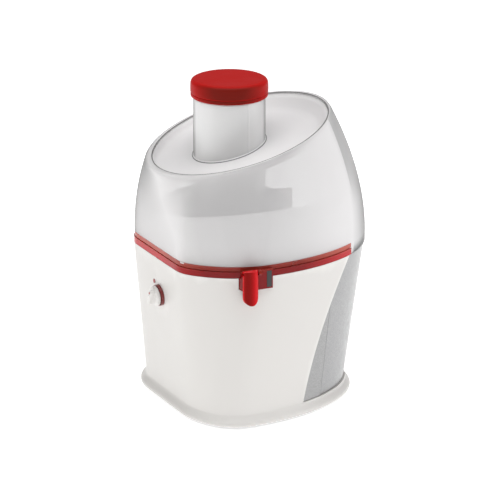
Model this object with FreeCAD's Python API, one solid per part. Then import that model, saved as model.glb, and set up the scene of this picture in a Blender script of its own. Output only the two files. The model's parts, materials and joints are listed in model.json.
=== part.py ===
"""Compact centrifugal juicer: motor base, juice tray, filter basket, clear lid, pusher and pulp container.

Units are millimetres and +Z is up.  +X points to the pulp container's end, -X to the end with the control
knob, and -Y to the front, where the juice comes out.  Shapes are drawn about the body's own middle plane
(Y = 0) and are moved by ORIGIN_SHIFT on export, so that the origin is the centre of the footprint's box.
"""

import FreeCAD, Part
import os
from math import atan2, copysign, cos, degrees, pi, radians, sin, sqrt

Vector = FreeCAD.Vector

# ---------------------------------------------------------------- driving dimensions
ORIGIN_SHIFT = Vector(-3.21, -11.15, 0)  # from the drawing's origin to the centre of the footprint's box

WALL = 2.5            # moulded wall of the housing and the lid
CLEAR = 0.4           # gap between pieces that come apart
FOOT_Z = 3.0          # underside of the plinth
WAIST_Z = 13.5        # narrowest level of the housing, and the shelf that the pulp container stands on
RIM_Z = 155.5         # top edge of the housing
BAND_H = 12.0         # height of the tray's visible band
LID_Z = RIM_Z + BAND_H
FLARE = 5.3           # how far the plinth stands out beyond the waist

# plan outlines: centre, half length to the left and to the right, half depth, squareness of the left end
RIM_PLAN = (-25.0, 94.0, 145.5, 102.7, 2.0)
WAIST_PLAN = (-46.0, 48.6, 145.0, 98.6, 2.34)
PANEL_LOW_X, PANEL_HIGH_X = -90.2, -103.4   # flat panel of the left end, at the waist and at the rim
EDGE_LOW, EDGE_HIGH = 1.5, 3.5              # softness of the panel's edges, at the waist and at the rim
OUTLINE_POINTS = 48

AXIS_X = -27.0        # motor and basket axis
CHUTE_X = -22.6       # feed chute axis
CHUTE_R, CHUTE_BORE_R = 35.7, 33.1
CHUTE_TOP_Z, CHUTE_LOW_Z = 311.8, 170.0
CAP_R, CAP_Z, CAP_H, CAP_SIDE_H = 38.6, 312.2, 17.8, 14.2

TOP_X, TOP_R = -13.2, 92.3      # top of the lid's wall, a circle in plan
SCOOP_X, SCOOP_R = -11.0, 87.6  # rim of the dished top inside it
SCOOP_FLOOR_X, SCOOP_FLOOR_R = -14.0, 79.0
TOP_Z, TOP_SLOPE = 272.9, 0.29  # height of the lid's rim at the dish's centre, and its slope
SCOOP_FLOOR_Z, SCOOP_SLOPE = 259.2, 0.262   # floor height at the chute axis, and its slope
LID_INSET = 0.8                 # how far the lid's wall stands inside the tray's band
LEAN_LEFT, LEAN_RIGHT = 2.2, 1.8   # how late the lid's wall leans in, at either end

PANEL_END_X = 76.0              # where the tray's band stops and the container's side begins
MOUTH_X = 52.0                  # where the tray's floor stops, over the container's open top
DOCK_LINE_LOW, DOCK_LINE_HIGH = (40.5, WAIST_Z), (53.3, 165.0)
SWEEP_LOW, SWEEP_MID, SWEEP_HIGH = (15.0, 8.0), (38.9, 90.0), (81.6, 168.0)

DECK_Z, DECK_T = 136.0, 3.0
TRAY_FLOOR_Z, TRAY_T, BASIN_R = 147.5, 2.0, 68.0
GUARD_INSET, GUARD_TOP_Z = 10.0, 199.8   # the guard's top is at this height in the middle plane
GUARD_TILT = 11.3               # degrees that its top edge falls toward the back

SPOUT_X0, SPOUT_X1, SPOUT_Z0 = -57.6, -25.6, 144.6
SPOUT_FRONT_Y, SPOUT_TOP_Z = -105.5, 164.6
NOSE_X, NOSE_R, NOSE_LOW_Z = -50.8, 7.6, 131.0
NOSE_PIVOT = (-107.9, 163.0)    # Y and Z of the nose's hinge pin

BASKET_LOW_R, BASKET_TOP_R = 46.0, 57.0
BASKET_FLOOR_Z, BASKET_TOP_Z = 155.5, 201.5
MOTOR_Z, UPPER_Z = 18.0, 114.0   # undersides of the motor's two brackets
STACK_Z, BRUSH_Z = (54.0, 88.0), 38.0   # laminated iron's levels, and the brushes' height

KNOB_Y, KNOB_Z, KNOB_R = -3.0, 116.8, 10.2
KNOB_TURN = 32.0      # how far the grip's top leans toward the front
LATCH_X, LATCH_PIVOT, LATCH_OPEN = -36.0, (108.6, 122.0), 22.0
PLUNGER_Z, PLUNGER_R, PLUNGER_TIP_Y = 132.0, 3.0, 104.6

FEET = [(-70, -46), (-70, 46), (58, -46), (58, 46)]
GLAND_X, GLAND_Z = -45.0, 32.0


# ---------------------------------------------------------------- plain shapes
def cylinder(radius, z0, z1, x=AXIS_X, y=0.0):
    return Part.makeCylinder(radius, z1 - z0, Vector(x, y, z0))


def ring(outer, inner, z0, z1, x=AXIS_X, y=0.0):
    return cylinder(outer, z0, z1, x, y).cut(cylinder(inner, z0 - 1, z1 + 1, x, y))


def box(x0, x1, y0, y1, z0, z1):
    return Part.makeBox(x1 - x0, y1 - y0, z1 - z0, Vector(x0, y0, z0))


def rod(radius, start, end):
    start, end = Vector(*start), Vector(*end)
    return Part.makeCylinder(radius, (end - start).Length, start, end - start)


def cone(r0, r1, z0, z1, x=AXIS_X, y=0.0):
    return Part.makeCone(r0, r1, z1 - z0, Vector(x, y, z0))


def join(shapes):
    whole = shapes[0]
    for shape in shapes[1:]:
        whole = whole.fuse(shape)
    return whole.removeSplitter()


def group(shapes):
    return Part.makeCompound(shapes)


def export(name, shape):
    os.makedirs("parts", exist_ok=True)
    moved = shape.copy()
    moved.translate(ORIGIN_SHIFT)
    if not moved.isValid():
        print("invalid:", name)
    moved.exportStep(f"parts/{name}.step")
    print(f"{name}: {len(moved.Solids)} solids, {moved.Volume / 1000:.1f} cm3")


# ---------------------------------------------------------------- the body's outline
def mix(a, b, share):
    return a + (b - a) * share


def smooth_step(t):
    t = min(1.0, max(0.0, t))
    return t * t * (3 - 2 * t)


def plan_points(plan, inset, z, panel_x, edge):
    """Points of an egg-shaped outline: blunt to the left with a flat panel, elliptical to the right."""
    centre, left, right, half, power = plan
    left, right, half, wall = left - inset, right - inset, half - inset, panel_x + inset
    points = []
    for i in range(OUTLINE_POINTS):
        c, s = cos(2 * pi * i / OUTLINE_POINTS), sin(2 * pi * i / OUTLINE_POINTS)
        if c < 0:
            x = centre - left * abs(c) ** (2 / power)
            y = half * copysign(abs(s) ** (2 / power), s)
        else:
            x, y = centre + right * c, half * s
        x = 0.5 * (x + wall + sqrt((x - wall) ** 2 + edge ** 2))
        points.append(Vector(x, y, z))
    return points


def rim_points(inset, z):
    return plan_points(RIM_PLAN, inset, z, PANEL_HIGH_X, EDGE_HIGH)


def closed_curve(points):
    """A smooth closed wire through the points, with even knots so that lofts between wires stay simple."""
    curve = Part.BSplineCurve()
    knots = [i / len(points) for i in range(len(points) + 1)]
    curve.interpolate(Points=points, PeriodicFlag=True, Parameters=knots)
    return Part.Wire([curve.toShape()])


def body_outline(z, inset=0.0):
    """The body's outline at a level: each point runs straight from the waist to the rim."""
    share = min(1.0, max(0.0, (z - WAIST_Z) / (RIM_Z - WAIST_Z)))
    flare = FLARE * smooth_step((WAIST_Z - z) / (WAIST_Z - 5.0))
    if z < FOOT_Z + 1:
        flare -= 1.0
    low = plan_points(WAIST_PLAN, inset - flare, z, PANEL_LOW_X, EDGE_LOW)
    high = plan_points(RIM_PLAN, inset - flare, z, PANEL_HIGH_X, EDGE_HIGH)
    return closed_curve([a + (b - a) * share for a, b in zip(low, high)])


def body_solid(z0, z1, inset=0.0):
    """The body's form between two levels, moved inward by inset: a flared plinth under a straight taper."""
    pieces = []
    if z0 < WAIST_Z:
        levels = [z for z in (3.0, 4.5, 7.0, 9.0, 11.0) if z0 < z]
        wires = [body_outline(z, inset) for z in [z0, *levels, WAIST_Z]]
        pieces.append(Part.makeLoft(wires, True, False))
    if z1 > WAIST_Z:
        wires = [body_outline(z, inset) for z in (max(z0, WAIST_Z), z1)]
        pieces.append(Part.makeLoft(wires, True, True))
    return pieces[0] if len(pieces) == 1 else pieces[0].fuse(pieces[1])


def rim_solid(z0, z1, inset):
    """A straight-sided piece of the rim's outline."""
    wire = closed_curve(rim_points(inset, z0))
    return Part.Face(wire).extrude(Vector(0, 0, z1 - z0))


def zone(edges_left, top, bottom):
    """Everything to the right of a profile in the XZ plane, as wide as the body."""
    far = Vector(220, -160, 0)
    low, high = edges_left[0].Vertexes[0].Point, edges_left[-1].Vertexes[-1].Point
    corners = [high, Vector(far.x, far.y, top), Vector(far.x, far.y, bottom), low]
    lines = [Part.makeLine(a, b) for a, b in zip(corners, corners[1:])]
    face = Part.Face(Part.Wire([*edges_left, *lines]))
    return face.extrude(Vector(0, 320, 0))


def sweep_zone(shift=0.0):
    """Right of the white panel's curved edge."""
    low, mid, high = (Vector(x + shift, -160, z) for x, z in (SWEEP_LOW, SWEEP_MID, SWEEP_HIGH))
    return zone([Part.Arc(low, mid, high).toShape()], high.z, low.z)


def dock_zone(shift=0.0):
    """Right of the pulp container's own edge."""
    low, high = (Vector(x + shift, -160, z) for x, z in (DOCK_LINE_LOW, DOCK_LINE_HIGH))
    low.z -= 4.0
    line_zone = zone([Part.makeLine(low, high)], high.z, low.z)
    return line_zone.common(sweep_zone(shift))


# ---------------------------------------------------------------- lid form
def lid_outline(t, inset=0.0, drop=0.0):
    """One level of the lid's wall: t runs from the rim, 0, to the sloping top, 1."""
    points = []
    for i, low in enumerate(rim_points(inset + LID_INSET, 0.0)):
        angle = 2 * pi * i / OUTLINE_POINTS
        top_x = TOP_X + (TOP_R - inset) * cos(angle)
        top_y = (TOP_R - 1.0 - inset) * sin(angle)
        top_z = TOP_Z + TOP_SLOPE * (top_x - SCOOP_X) - drop
        lean = t ** mix(LEAN_LEFT, LEAN_RIGHT, (1 + cos(angle)) / 2)
        points.append(Vector(mix(low.x, top_x, lean), mix(low.y, top_y, lean), mix(LID_Z, top_z, t)))
    return closed_curve(points)


def lid_form(inset=0.0, drop=0.0):
    steps = [0.0, 0.2, 0.4, 0.55, 0.7, 0.82, 0.92, 1.0]
    return Part.makeLoft([lid_outline(t, inset, drop) for t in steps], True, False)


def tilted_circle(x, radius, z, slope, x_level):
    points = [
        Vector(x + radius * cos(a), radius * sin(a), z + slope * (x + radius * cos(a) - x_level))
        for a in (2 * pi * i / 36 for i in range(36))
    ]
    return closed_curve(points)


def scoop(grow=0.0):
    """The dished hollow in the lid's top; grow makes it larger all round."""
    sections = [
        tilted_circle(SCOOP_FLOOR_X, SCOOP_FLOOR_R + grow, SCOOP_FLOOR_Z - grow, SCOOP_SLOPE, CHUTE_X),
        tilted_circle(SCOOP_X, SCOOP_R + grow, TOP_Z + 0.6, TOP_SLOPE, SCOOP_X),
    ]
    return Part.makeLoft(sections, True, True)


# ---------------------------------------------------------------- base
def base_housing(outer):
    shell = outer.cut(body_solid(FOOT_Z - 1, RIM_Z + 1, WALL))
    cut_zone = sweep_zone().cut(box(-200, 300, -200, 200, -5, WAIST_Z))
    shelf = outer.common(dock_zone(-3.2)).common(box(0, 200, -200, 200, WAIST_Z - 2.5, WAIST_Z))
    housing = shell.cut(cut_zone).fuse(shelf)
    notch = box(SPOUT_X0 - 0.5, SPOUT_X1 + 0.5, -150, -80, SPOUT_Z0 - 0.5, RIM_Z + 5)
    housing = housing.cut(notch).cut(knob_rod(KNOB_R - 1.0, -12, 12))
    housing = housing.cut(rod(PLUNGER_R + 0.4, (LATCH_X, 80, PLUNGER_Z), (LATCH_X, 130, PLUNGER_Z)))
    return housing.cut(rod(7.0, (GLAND_X, 70, GLAND_Z), (GLAND_X, 130, GLAND_Z)))


def side_trim(outer, side):
    skin = body_solid(WAIST_Z, RIM_Z, 1.2).cut(body_solid(WAIST_Z, RIM_Z, 3.4))
    half = box(0, 200, *sorted((0, side * 160)), WAIST_Z + 0.2, RIM_Z - 1)
    piece = skin.common(half).common(sweep_zone(CLEAR)).cut(dock_zone(-CLEAR))
    return piece


def dock_wall():
    slab = dock_zone(-3.0).cut(dock_zone(-0.8))
    return slab.common(body_solid(WAIST_Z, DECK_Z, 3.9)).common(
        box(0, 200, -160, 160, WAIST_Z + 0.2, DECK_Z - 0.2))


def motor_deck():
    plate = body_solid(WAIST_Z, RIM_Z, WALL + 0.2).common(
        box(-200, 200, -160, 160, DECK_Z, DECK_Z + DECK_T)).cut(dock_zone(-3.2))
    return plate.cut(cylinder(20, DECK_Z - 1, DECK_Z + DECK_T + 1))


def bottom_plate():
    plate = body_solid(FOOT_Z, 7, 3.6).common(box(-200, 200, -160, 160, 3.5, 6.0))
    for i in range(-4, 5):
        slot_x = AXIS_X + 9 * i
        slot = box(slot_x - 1.5, slot_x + 1.5, -18, 18, 0, 10)
        ends = [cylinder(1.5, 0, 10, slot_x, y) for y in (-18, 18)]
        plate = plate.cut(slot.fuse(ends[0]).fuse(ends[1]))
    for x, y in FEET:
        plate = plate.cut(cylinder(5.0, 0, 10, x, y))
        plate = plate.cut(cylinder(1.8, 0, 10, x * 0.55 - 12, y * 1.35))
    return plate


def rubber_feet():
    feet = []
    for x, y in FEET:
        pad = cone(8.0, 9.0, 0, 3.4, x, y).fuse(cylinder(4.9, 3.4, 8.5, x, y))
        feet.append(pad.cut(cylinder(2.2, 4.0, 9, x, y)))
    return group(feet)


def base_screws():
    screws = []
    for x, y in FEET:
        sx, sy = x * 0.55 - 12, y * 1.35
        screw = cylinder(3.2, 1.6, 3.4, sx, sy).fuse(cylinder(1.7, 3.4, 16, sx, sy))
        screws.append(screw.cut(box(sx - 2, sx + 2, sy - 0.4, sy + 0.4, 1.0, 2.4)))
    return group(screws)


def screw_bosses():
    return group([ring(4.2, 1.8, 6.1, 22, x * 0.55 - 12, y * 1.35) for x, y in FEET])


def cord_gland(outer):
    skin_y = max(p.y for p in body_outline(GLAND_Z).discretize(400) if abs(p.x - GLAND_X) < 2.5)
    body = rod(6.8, (GLAND_X, skin_y - 9, GLAND_Z), (GLAND_X, skin_y + 1, GLAND_Z))
    flange = rod(9.5, (GLAND_X, skin_y + 0.8, GLAND_Z), (GLAND_X, skin_y + 3.8, GLAND_Z))
    nut = rod(9.0, (GLAND_X, skin_y - 12, GLAND_Z), (GLAND_X, skin_y - 8, GLAND_Z))
    bore = rod(3.6, (GLAND_X, skin_y - 20, GLAND_Z), (GLAND_X, skin_y + 10, GLAND_Z))
    print(f"gland: skin y {skin_y:.2f}")
    return body.fuse(flange).fuse(nut).cut(bore)


# ---------------------------------------------------------------- control knob, on the left end
def surface_point(y, z):
    """The body's left surface at that y and z."""
    return min((p for p in body_outline(z).discretize(900) if abs(p.y - y) < 1.5), key=lambda p: p.x)


KNOB_SEAT = surface_point(KNOB_Y, KNOB_Z)
PANEL_TILT = atan2(PANEL_LOW_X - PANEL_HIGH_X, RIM_Z - WAIST_Z)   # the panel faces a little downward
PANEL_OUT = Vector(-cos(PANEL_TILT), 0, -sin(PANEL_TILT))
PANEL_UP = Vector(-sin(PANEL_TILT), 0, cos(PANEL_TILT))


def knob_rod(radius, start, end, up=0.0):
    """A cylinder on the knob's axis, by its distances outward from the body's surface."""
    return Part.makeCylinder(radius, end - start, KNOB_SEAT + PANEL_OUT * start + PANEL_UP * up, PANEL_OUT)


def knob_block(start, end, half_width, half_height):
    block = box(start, end, -half_width, half_width, -half_height, half_height)
    block.rotate(Vector(0, 0, 0), Vector(0, 0, 1), 180)
    block.rotate(Vector(0, 0, 0), Vector(0, 1, 0), -degrees(PANEL_TILT))
    block.translate(KNOB_SEAT)
    return block


def turned_grip(shape):
    shape.rotate(KNOB_SEAT, PANEL_OUT, -KNOB_TURN)
    return shape


def knob_bezel():
    """A dark collar under the knob, with a plug that sits in the panel."""
    return knob_rod(KNOB_R + 0.7, 0.2, 3.4).fuse(knob_rod(KNOB_R - 1.2, -2.5, 0.4)).cut(knob_rod(4.0, -3, 4))


def control_knob():
    disc = knob_rod(KNOB_R, 3.8, 7.6)
    grip = turned_grip(knob_block(7.5, 12.6, 3.0, KNOB_R - 1.0)).common(knob_rod(KNOB_R - 0.6, 7.0, 13.0))
    return disc.fuse(grip).cut(knob_rod(3.05, 1.0, 10.0))


def knob_pointer():
    return turned_grip(knob_rod(1.1, 12.6, 13.1, up=KNOB_R - 3.6))


def switch_spindle():
    return knob_rod(3.0, -14.0, 9.8)


def speed_switch():
    return knob_block(-22.0, -12.6, 11.0, 11.0).cut(knob_rod(3.1, -14.5, -12.0))


def switch_bracket():
    plate = knob_block(-12.2, -10.6, 15.0, 13.0)
    return plate.cut(knob_rod(3.4, -13, -10))


def off_mark():
    """A small raised dot on the panel that the knob's pointer is read against."""
    seat = surface_point(KNOB_Y + 13.5, KNOB_Z + 11.2)
    return Part.makeCylinder(2.2, 1.6, seat - PANEL_OUT, PANEL_OUT).cut(body_solid(FOOT_Z, RIM_Z))


# ---------------------------------------------------------------- motor
def motor_posts_at():
    return [(AXIS_X + 43 * cos(radians(a)), 43 * sin(radians(a))) for a in (45, 135, 225, 315)]


def motor_bracket(z0, cup_z1):
    """A spider plate with four windows and a cup for the bearing."""
    plate = cylinder(48, z0, z0 + 3)
    for i in range(4):
        angle = radians(90 * i)
        plate = plate.cut(cylinder(11, z0 - 1, z0 + 4, AXIS_X + 31 * cos(angle), 31 * sin(angle)))
    plate = plate.fuse(cylinder(11, z0, cup_z1)).cut(cylinder(9, z0 - 1, cup_z1 + 1))
    for x, y in motor_posts_at():
        plate = plate.cut(cylinder(2.6, z0 - 1, z0 + 4, x, y))
    return plate


def motor_posts():
    return group([cylinder(2.5, MOTOR_Z - 4, UPPER_Z + 12, x, y) for x, y in motor_posts_at()])


def post_sleeves():
    return group([ring(4.5, 2.6, MOTOR_Z + 3.1, UPPER_Z - 0.1, x, y) for x, y in motor_posts_at()])


def motor_mounts():
    return group([ring(7.0, 2.6, UPPER_Z + 3.1, DECK_Z - 0.1, x, y) for x, y in motor_posts_at()])


def stator_core():
    z0, z1 = STACK_Z
    core = cylinder(38.2, z0, z1).common(box(AXIS_X - 33, AXIS_X + 33, -60, 60, z0 - 1, z1 + 1))
    core = core.cut(cylinder(21.7, z0 - 1, z1 + 1))
    for y0 in (-29, 20):
        core = core.cut(box(AXIS_X - 17, AXIS_X + 17, y0, y0 + 9, z0 - 1, z1 + 1))
    return core


def field_coils():
    coils = []
    for y0, y1 in ((-40, -8), (8, 40)):
        for z0, z1 in ((STACK_Z[0] - 9.3, STACK_Z[0] - 0.2), (STACK_Z[1] + 0.2, STACK_Z[1] + 9)):
            coils.append(ring(33, 23, z0, z1).common(box(AXIS_X - 40, AXIS_X + 40, y0, y1, z0, z1)))
    return group(coils)


def brush_holders():
    holders = []
    for y0, y1 in ((-30, -13), (13, 30)):
        tube = box(AXIS_X - 6, AXIS_X + 6, y0, y1, BRUSH_Z - 5, BRUSH_Z + 5)
        holders.append(tube.cut(box(AXIS_X - 3.6, AXIS_X + 3.6, y0 - 1, y1 + 1, BRUSH_Z - 3, BRUSH_Z + 3)))
    return group(holders)


def carbon_brushes():
    return group([
        box(AXIS_X - 3.4, AXIS_X + 3.4, y0, y1, BRUSH_Z - 2.8, BRUSH_Z + 2.8)
        for y0, y1 in ((-24, -11.3), (11.3, 24))])


def bearing(z0, z1):
    return ring(9.0, 4.05, z0, z1)


def motor_shaft():
    return cylinder(4.0, MOTOR_Z - 3, DECK_Z + 11)


def armature_windings():
    z0, z1 = STACK_Z
    return group([ring(18.5, 4.0, z0 - 8.5, z0), ring(18.5, 4.0, z1, z1 + 8)])


def armature_core():
    z0, z1 = STACK_Z
    core = ring(21.0, 4.0, z0, z1)
    for i in range(12):
        angle = radians(30 * i)
        core = core.cut(cylinder(1.4, z0 - 1, z1 + 1, AXIS_X + 20.6 * cos(angle), 20.6 * sin(angle)))
    return core


def commutator():
    return ring(11.0, 4.0, BRUSH_Z - 6, BRUSH_Z + 6.5)


def cooling_fan():
    z0 = STACK_Z[1] + 10.5
    fan = ring(9.0, 4.0, z0, z0 + 10.5).fuse(ring(33, 8.5, z0, z0 + 2))
    for i in range(9):
        blade = box(8, 32.5, -0.9, 0.9, z0 + 1.5, z0 + 10.5)
        blade.rotate(Vector(0, 0, 0), Vector(0, 0, 1), 40 * i)
        blade.translate(Vector(AXIS_X, 0, 0))
        fan = fan.fuse(blade)
    return fan


def splined(radius, z0, z1, grow=0.0):
    """A hub with six round splines, the drive's shape; grow makes the socket for it."""
    hub = cylinder(radius + grow, z0, z1)
    for i in range(6):
        angle = radians(60 * i)
        hub = hub.fuse(cylinder(2.2 + grow, z0, z1, AXIS_X + radius * cos(angle), radius * sin(angle)))
    return hub


def drive_coupler():
    return splined(8.5, DECK_Z + 5, BASKET_FLOOR_Z - 2.5).cut(cylinder(4.0, DECK_Z + 4, DECK_Z + 11))


def shaft_seal():
    return ring(16.9, 4.3, DECK_Z - 2.0, DECK_Z + 1.0)


def seal_seat():
    """A flanged collar through the deck that holds the seal and keeps stray juice out of the motor."""
    return ring(19.9, 17.0, DECK_Z - 3.0, DECK_Z + 14).fuse(ring(23.0, 17.0, DECK_Z - 3.0, DECK_Z - 0.1))


# ---------------------------------------------------------------- juice tray, guard and spout
def tray_end_cut():
    return box(PANEL_END_X, 220, -200, 200, 100, 260)


def rim_piece(z0, z1, outer_inset, inner_inset):
    """A band of wall that follows the rim's outline, left of the pulp container."""
    wall = rim_solid(z0, z1, outer_inset).cut(rim_solid(z0 - 1, z1 + 1, inner_inset))
    return wall.cut(tray_end_cut())


def spout_block():
    """The spout's block, with a slot at the top left for the nose's knuckle and a recess at the right."""
    pivot_y, pivot_z = NOSE_PIVOT
    block = box(SPOUT_X0, SPOUT_X1, SPOUT_FRONT_Y, -50, SPOUT_Z0, RIM_Z + 1)
    upper = box(SPOUT_X0, SPOUT_X1, SPOUT_FRONT_Y, -100, RIM_Z, SPOUT_TOP_Z)
    block = block.fuse(upper.cut(rim_solid(RIM_Z - 1, LID_Z, 2.0)))
    right_x = NOSE_X + NOSE_R + 0.3
    lug = box(right_x, right_x + 3.2, pivot_y, SPOUT_FRONT_Y + 1, pivot_z - 3, pivot_z + 1.4)
    lug = lug.fuse(rod(3.0, (right_x, pivot_y, pivot_z), (right_x + 3.2, pivot_y, pivot_z)))
    block = block.fuse(lug)
    knuckle_gap = rod(5.0, (SPOUT_X0 - 9, pivot_y, pivot_z), (right_x, pivot_y, pivot_z))
    recess = box(
        SPOUT_X1 - 6.5, SPOUT_X1 - 1.2, SPOUT_FRONT_Y - 1, SPOUT_FRONT_Y + 1.6,
        SPOUT_Z0 + 1.5, SPOUT_TOP_Z - 2)
    return block.cut(knuckle_gap).cut(recess)


def juice_tray():
    band = rim_piece(RIM_Z + 0.3, RIM_Z + 6.4, 0.0, 3.4)
    band = band.fuse(rim_piece(RIM_Z + 6.3, RIM_Z + 7.3, 1.4, 3.4))
    band = band.fuse(rim_piece(RIM_Z + 7.2, LID_Z - CLEAR, 0.7, 3.4))
    floor = rim_solid(RIM_Z, RIM_Z + TRAY_T, 3.0).cut(box(MOUTH_X, 220, -200, 200, 100, 260))
    basin = cylinder(BASIN_R, TRAY_FLOOR_Z - TRAY_T, RIM_Z + 1)
    tray = floor.fuse(basin).fuse(spout_block()).fuse(band)
    tray = tray.cut(cylinder(BASIN_R - TRAY_T, TRAY_FLOOR_Z, RIM_Z + 4))
    collar = cylinder(23.5, TRAY_FLOOR_Z - TRAY_T, DECK_Z + 16)
    tray = tray.fuse(collar).cut(cylinder(21.2, TRAY_FLOOR_Z - TRAY_T - 1, DECK_Z + 20))
    channel = box(SPOUT_X0 + 2, NOSE_X + NOSE_R - 1, SPOUT_FRONT_Y - 5, -50, SPOUT_Z0 + 1.8, RIM_Z - 1.0)
    channel = channel.cut(cylinder(BASIN_R - 1, 140, TRAY_FLOOR_Z))
    pin_hole = rod(1.55, (NOSE_X - NOSE_R, *NOSE_PIVOT), (NOSE_X + NOSE_R + 5, *NOSE_PIVOT))
    return tray.cut(channel).cut(pin_hole)


def above_guard(drop=0.0):
    """The space over the guard's slanting top edge, or over a level a little below it."""
    space = box(-200, 200, -160, 160, 0, 150)
    space.rotate(Vector(0, 0, 0), Vector(1, 0, 0), -GUARD_TILT)
    space.translate(Vector(0, 0, GUARD_TOP_Z - drop))
    return space


def pulp_guard():
    wall = rim_piece(RIM_Z + 2.2, 230, GUARD_INSET, GUARD_INSET + 2.0)
    lip = rim_piece(RIM_Z + 2.2, 230, GUARD_INSET - 1.2, GUARD_INSET + 2.0).common(above_guard(2.5))
    return wall.fuse(lip).cut(above_guard())


def drip_nose():
    """A hollow tongue with a rounded tip that hangs from the hinge pin over the spout's mouth."""
    pivot_y, pivot_z = NOSE_PIVOT
    front_y, back_y = SPOUT_FRONT_Y - 7.0, SPOUT_FRONT_Y - 0.5
    tip_z, top_z = NOSE_LOW_Z + NOSE_R, pivot_z + 2.6
    outline = rod(NOSE_R, (NOSE_X, -140, tip_z), (NOSE_X, -100, tip_z)).fuse(
        box(NOSE_X - NOSE_R, NOSE_X + NOSE_R, -140, -100, tip_z, top_z))
    bulge = cylinder(10.5, NOSE_LOW_Z - 1, top_z + 4, NOSE_X, front_y + 10.5)
    tongue = outline.common(bulge).common(box(-90, 0, -140, back_y, 100, 200))
    reach = NOSE_R - 2
    hollow = box(NOSE_X - reach, NOSE_X + reach, front_y + 2.5, back_y + 1, NOSE_LOW_Z + 4, pivot_z - 5)
    pin_bore = rod(1.5, (NOSE_X - 20, pivot_y, pivot_z), (NOSE_X + 20, pivot_y, pivot_z))
    return tongue.cut(hollow).cut(pin_bore)


def nose_pin():
    return rod(1.45, (NOSE_X - NOSE_R + 1, *NOSE_PIVOT), (NOSE_X + NOSE_R + 3.3, *NOSE_PIVOT))


def spout_plug():
    """A black plug that fills the recess in the spout block's face."""
    return box(
        SPOUT_X1 - 6.4, SPOUT_X1 - 1.3, SPOUT_FRONT_Y - 0.3, SPOUT_FRONT_Y + 1.5,
        SPOUT_Z0 + 1.6, SPOUT_TOP_Z - 2.1)


# ---------------------------------------------------------------- filter basket
def basket_mesh():
    outer = cone(BASKET_LOW_R, BASKET_TOP_R, BASKET_FLOOR_Z + 2.6, BASKET_TOP_Z)
    return outer.cut(cone(BASKET_LOW_R - 0.8, BASKET_TOP_R - 0.8, BASKET_FLOOR_Z + 2.6, BASKET_TOP_Z))


def basket_rim():
    top = BASKET_TOP_Z
    return ring(BASKET_TOP_R + 3.0, BASKET_TOP_R - 3.0, top + 0.05, top + 4.0).fuse(
        ring(BASKET_TOP_R + 3.0, BASKET_TOP_R + 1.0, top - 5.0, top + 1.0))


def basket_hub():
    floor = cylinder(BASKET_LOW_R + 1.0, BASKET_FLOOR_Z, BASKET_FLOOR_Z + 2.5)
    boss = cylinder(15.2, DECK_Z + 6, BASKET_FLOOR_Z + 1)
    return floor.fuse(boss).cut(splined(8.5, DECK_Z + 5, BASKET_FLOOR_Z - 2, 0.25))


def grater_disc():
    return cylinder(BASKET_LOW_R - 3.5, BASKET_FLOOR_Z + 2.55, BASKET_FLOOR_Z + 3.55)


def grater_teeth():
    teeth, top = [], BASKET_FLOOR_Z + 3.6
    for row, radius in enumerate((10, 17, 24, 31, 38)):
        for i in range(6 + 4 * row):
            angle = 2 * pi * (i + 0.5 * (row % 2)) / (6 + 4 * row)
            teeth.append(cone(1.3, 0.3, top, top + 1.8, AXIS_X + radius * cos(angle), radius * sin(angle)))
    return group(teeth)


# ---------------------------------------------------------------- lid, chute and pusher
def lid_shell():
    cavity = lid_form(WALL, WALL).cut(scoop(WALL))
    lid = lid_form().cut(scoop()).cut(cavity)
    skirt = rim_solid(RIM_Z + CLEAR, LID_Z, LID_INSET).cut(rim_solid(RIM_Z, LID_Z + 1, WALL + LID_INSET))
    skirt = skirt.common(box(PANEL_END_X + 0.5, 220, -200, 200, 100, 200))
    flange = rim_solid(LID_Z, LID_Z + 2.0, 2.0).cut(rim_solid(LID_Z - 1, LID_Z + 3, 6.0))
    lip = rim_piece(LID_Z - 3.5, LID_Z + 1.0, 4.0, 5.8)
    lid = lid.fuse(flange).fuse(skirt).fuse(lip)
    return lid.cut(cylinder(CHUTE_R, 200, 340, CHUTE_X))


def lid_catch():
    """The tab on the lid's back that the latch hooks over."""
    tab = box(LATCH_X - 12, LATCH_X + 12, 90, LATCH_PIVOT[0] - 2.4, LID_Z + 0.5, LID_Z + 5.0)
    return tab.cut(lid_form())


def key_angle_block(r0, r1, half_width, z0, z1):
    block = box(r0, r1, -half_width, half_width, z0, z1)
    block.rotate(Vector(0, 0, 0), Vector(0, 0, 1), -75)
    block.translate(Vector(CHUTE_X, 0, 0))
    return block


def feed_chute():
    tube = ring(CHUTE_R, CHUTE_BORE_R, CHUTE_LOW_Z, CHUTE_TOP_Z, CHUTE_X)
    key = key_angle_block(CHUTE_BORE_R - 1.5, CHUTE_BORE_R + 0.5, 2.0, CHUTE_LOW_Z, CHUTE_TOP_Z - 2)
    return tube.fuse(key)


def pusher_body():
    tube = cylinder(CHUTE_BORE_R - 0.6, CHUTE_LOW_Z + 8.2, CAP_Z + 4, CHUTE_X)
    tube = tube.cut(key_angle_block(CHUTE_BORE_R - 2.4, CHUTE_BORE_R + 2, 2.6, CHUTE_LOW_Z, CAP_Z - 1.0))
    return tube.cut(cylinder(CHUTE_BORE_R - 4.6, CHUTE_LOW_Z + 11, CAP_Z + 5, CHUTE_X))


def pusher_sole():
    z0 = CHUTE_LOW_Z + 6.0
    sole = cylinder(CHUTE_BORE_R - 3.0, z0, z0 + 2.1, CHUTE_X)
    for i in range(-2, 3):
        sole = sole.cut(box(CHUTE_X - 40, CHUTE_X + 40, 9 * i - 1, 9 * i + 1, z0 - 1, z0 + 1))
    return sole


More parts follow.
